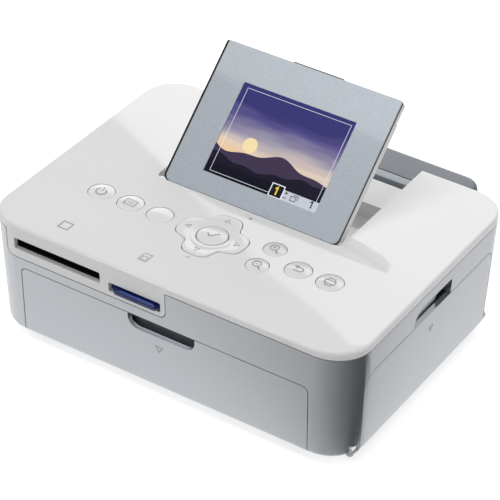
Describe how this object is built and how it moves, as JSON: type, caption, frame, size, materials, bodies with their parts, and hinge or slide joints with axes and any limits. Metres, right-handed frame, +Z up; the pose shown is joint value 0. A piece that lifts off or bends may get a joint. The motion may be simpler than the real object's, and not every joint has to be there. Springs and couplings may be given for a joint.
{
  "type": "compact photo printer",
  "caption": "Low rounded box photo printer with a tilting display, round keys, card slots, hinged paper and ink doors and its print works inside.",
  "frame": {"origin": "centre of the bounding box, at the level of the feet", "axes": "+X to the right of someone at the keys, +Y to the back, +Z up"},
  "size_m": [0.178, 0.154, 0.105],
  "materials": {
    "white_gloss": "glossy, smooth",
    "light_satin": "fine satin",
    "grey_satin": "fine satin",
    "silver_plate": "smooth silver lacquer",
    "black_plastic": "satin black",
    "clear_window": "clear, polished",
    "display": "dark panel",
    "steel": "bright sheet and pins",
    "aluminium": "machined",
    "motor_metal": "zinc coated",
    "rubber_black": "matt",
    "nylon": "natural nylon",
    "board_green": "solder mask",
    "card_blue": "glossy moulded",
    "cassette_grey": "smoky moulded",
    "ink_film": "thin tinted film",
    "orange_plastic": "moulded latch",
    "cable_tan": "flat ribbon"
  },
  "bodies": {
    "case": {"bottom_case": "light_satin", "top_cover": "white_gloss", "bay_floor": "white_gloss", "exit_guide": "grey_satin", "rear_housing": "grey_satin", "feet": "rubber_black", "case_screws": "steel", "lcd_hinge_pins": "steel", "key_board": "board_green", "main_board": "board_green", "card_reader": "black_plastic", "chassis_frame": "steel", "gear_plate": "steel", "paper_bay": "light_satin", "feed_motor": "motor_metal", "ribbon_motor": "motor_metal", "cassette_case": "cassette_grey", "ink_ribbon": "ink_film", "fan_frame": "black_plastic", "dc_inlet": "black_plastic", "usb_port": "steel", "ribbon_cable": "cable_tan"},
    "front_door": {"front_cover": "light_satin"},
    "side_door": {"side_cover": "light_satin"},
    "display": {"lcd_face_plate": "silver_plate", "lcd_frame": "black_plastic", "lcd_back_shell": "white_gloss", "lcd_module": "display", "lcd_window": "clear_window"},
    "power_key": {"power_button": "white_gloss"},
    "menu_key": {"menu_button": "white_gloss"},
    "edit_key": {"edit_button": "white_gloss"},
    "ok_key": {"ok_button": "white_gloss"},
    "pad_gimbal": {"pad_carrier": "nylon"},
    "pad": {"direction_pad": "white_gloss"},
    "zoom_in_key": {"zoom_in_button": "white_gloss"},
    "zoom_out_key": {"zoom_out_button": "white_gloss"},
    "back_key": {"back_button": "white_gloss"},
    "print_key": {"print_button": "white_gloss"},
    "card": {"memory_card": "card_blue"},
    "pickup": {"pickup_roller": "rubber_black"},
    "platen": {"platen_roller": "rubber_black"},
    "grip": {"grip_roller": "steel"},
    "pinch": {"pinch_roller": "rubber_black"},
    "head": {"thermal_head": "aluminium", "head_arm": "steel"},
    "feed_pinion_body": {"feed_pinion": "nylon"},
    "idler": {"idler_gear": "nylon"},
    "ribbon_pinion_body": {"ribbon_pinion": "nylon"},
    "takeup_drive": {"takeup_gear": "nylon"},
    "supply": {"supply_spool": "nylon"},
    "takeup": {"takeup_spool": "nylon"},
    "lever": {"cassette_lever": "orange_plastic"},
    "fan": {"fan_rotor": "black_plastic"}
  },
  "joints": [
    {"name": "display_tilt", "type": "hinge", "parent": "case", "child": "display", "pos_m": [0, -0.00852, 0.0585], "axis": [1, 0, 0], "range_deg": [-42.5, 2.5]},
    {"name": "front_door_hinge", "type": "hinge", "parent": "case", "child": "front_door", "pos_m": [0, -0.06855, 0.0065], "axis": [1, 0, 0], "range_deg": [0, 85]},
    {"name": "side_door_hinge", "type": "hinge", "parent": "case", "child": "side_door", "pos_m": [0.08469, 0, 0.0065], "axis": [0, 1, 0], "range_deg": [0, 88]},
    {"name": "power_press", "type": "slide", "parent": "case", "child": "power_key", "axis": [0, 0, -1], "range_m": [0, 0.0006], "stiffness_N_per_m": 300, "springref_m": -0.002},
    {"name": "menu_press", "type": "slide", "parent": "case", "child": "menu_key", "axis": [0, 0, -1], "range_m": [0, 0.0006], "stiffness_N_per_m": 300, "springref_m": -0.002},
    {"name": "edit_press", "type": "slide", "parent": "case", "child": "edit_key", "axis": [0, 0, -1], "range_m": [0, 0.0006], "stiffness_N_per_m": 300, "springref_m": -0.002},
    {"name": "back_press", "type": "slide", "parent": "case", "child": "back_key", "axis": [0, 0, -1], "range_m": [0, 0.0006], "stiffness_N_per_m": 300, "springref_m": -0.002},
    {"name": "print_press", "type": "slide", "parent": "case", "child": "print_key", "axis": [0, 0, -1], "range_m": [0, 0.0006], "stiffness_N_per_m": 300, "springref_m": -0.002},
    {"name": "zoom_in_press", "type": "slide", "parent": "case", "child": "zoom_in_key", "axis": [0, 0, -1], "range_m": [0, 0.0006], "stiffness_N_per_m": 300, "springref_m": -0.002},
    {"name": "zoom_out_press", "type": "slide", "parent": "case", "child": "zoom_out_key", "axis": [0, 0, -1], "range_m": [0, 0.0006], "stiffness_N_per_m": 300, "springref_m": -0.002},
    {"name": "ok_press", "type": "slide", "parent": "case", "child": "ok_key", "axis": [0, 0, -1], "range_m": [0, 0.0006], "stiffness_N_per_m": 300, "springref_m": -0.002},
    {"name": "pad_rock_side", "type": "hinge", "parent": "case", "child": "pad_gimbal", "pos_m": [-0.0014, -0.0342, 0.0573], "axis": [0, 1, 0], "range_deg": [-2.5, 2.5], "stiffness_Nm_per_rad": 0.05},
    {"name": "pad_rock_front", "type": "hinge", "parent": "pad_gimbal", "child": "pad", "pos_m": [-0.0014, -0.0342, 0.0573], "axis": [1, 0, 0], "range_deg": [-2.5, 2.5], "stiffness_Nm_per_rad": 0.05},
    {"name": "card_slide", "type": "slide", "parent": "case", "child": "card", "axis": [0, -1, 0], "range_m": [0, 0.026]},
    {"name": "pickup_spin", "type": "hinge", "parent": "case", "child": "pickup", "pos_m": [0, -0.02761, 0.03901], "axis": [1, 0, 0], "continuous": true},
    {"name": "platen_spin", "type": "hinge", "parent": "case", "child": "platen", "pos_m": [0, 0.0135, 0.014], "axis": [1, 0, 0], "continuous": true},
    {"name": "grip_spin", "type": "hinge", "parent": "case", "child": "grip", "pos_m": [0, 0.0485, 0.0156], "axis": [1, 0, 0], "continuous": true},
    {"name": "pinch_spin", "type": "hinge", "parent": "case", "child": "pinch", "pos_m": [0, 0.0485, 0.0228], "axis": [1, 0, 0], "continuous": true},
    {"name": "head_lift", "type": "hinge", "parent": "case", "child": "head", "pos_m": [0, 0.0485, 0.0435], "axis": [1, 0, 0], "range_deg": [0, 4.5]},
    {"name": "feed_pinion_spin", "type": "hinge", "parent": "case", "child": "feed_pinion_body", "pos_m": [-0.061, 0.01594, 0.0344], "axis": [1, 0, 0], "continuous": true},
    {"name": "idler_spin", "type": "hinge", "parent": "case", "child": "idler", "pos_m": [-0.061, 0.03049, 0.026], "axis": [1, 0, 0], "continuous": true},
    {"name": "ribbon_pinion_spin", "type": "hinge", "parent": "case", "child": "ribbon_pinion_body", "pos_m": [-0.061, -0.01717, 0.03494], "axis": [1, 0, 0], "continuous": true},
    {"name": "takeup_drive_spin", "type": "hinge", "parent": "case", "child": "takeup_drive", "pos_m": [-0.061, -0.0045, 0.03], "axis": [1, 0, 0], "continuous": true},
    {"name": "supply_spin", "type": "hinge", "parent": "case", "child": "supply", "pos_m": [0, 0.0315, 0.03], "axis": [1, 0, 0], "continuous": true},
    {"name": "takeup_spin", "type": "hinge", "parent": "case", "child": "takeup", "pos_m": [0, -0.0045, 0.03], "axis": [1, 0, 0], "continuous": true},
    {"name": "lever_lift", "type": "hinge", "parent": "case", "child": "lever", "pos_m": [0.0622, 0.0155, 0.042], "axis": [0, 1, 0], "range_deg": [-35, 0]},
    {"name": "fan_spin", "type": "hinge", "parent": "case", "child": "fan", "pos_m": [-0.081, -0.0411, 0.021], "axis": [1, 0, 0], "continuous": true}
  ],
  "couplings": [
    {"joint": "idler_spin", "follows": "grip_spin", "ratio": -0.625},
    {"joint": "feed_pinion_spin", "follows": "grip_spin", "ratio": 2},
    {"joint": "pinch_spin", "follows": "grip_spin", "ratio": -1.3333},
    {"joint": "ribbon_pinion_spin", "follows": "pickup_spin", "ratio": -1.8},
    {"joint": "takeup_drive_spin", "follows": "pickup_spin", "ratio": 0.75},
    {"joint": "takeup_spin", "follows": "pickup_spin", "ratio": 0.75},
    {"joint": "supply_spin", "follows": "pickup_spin", "ratio": 0.75}
  ]
}
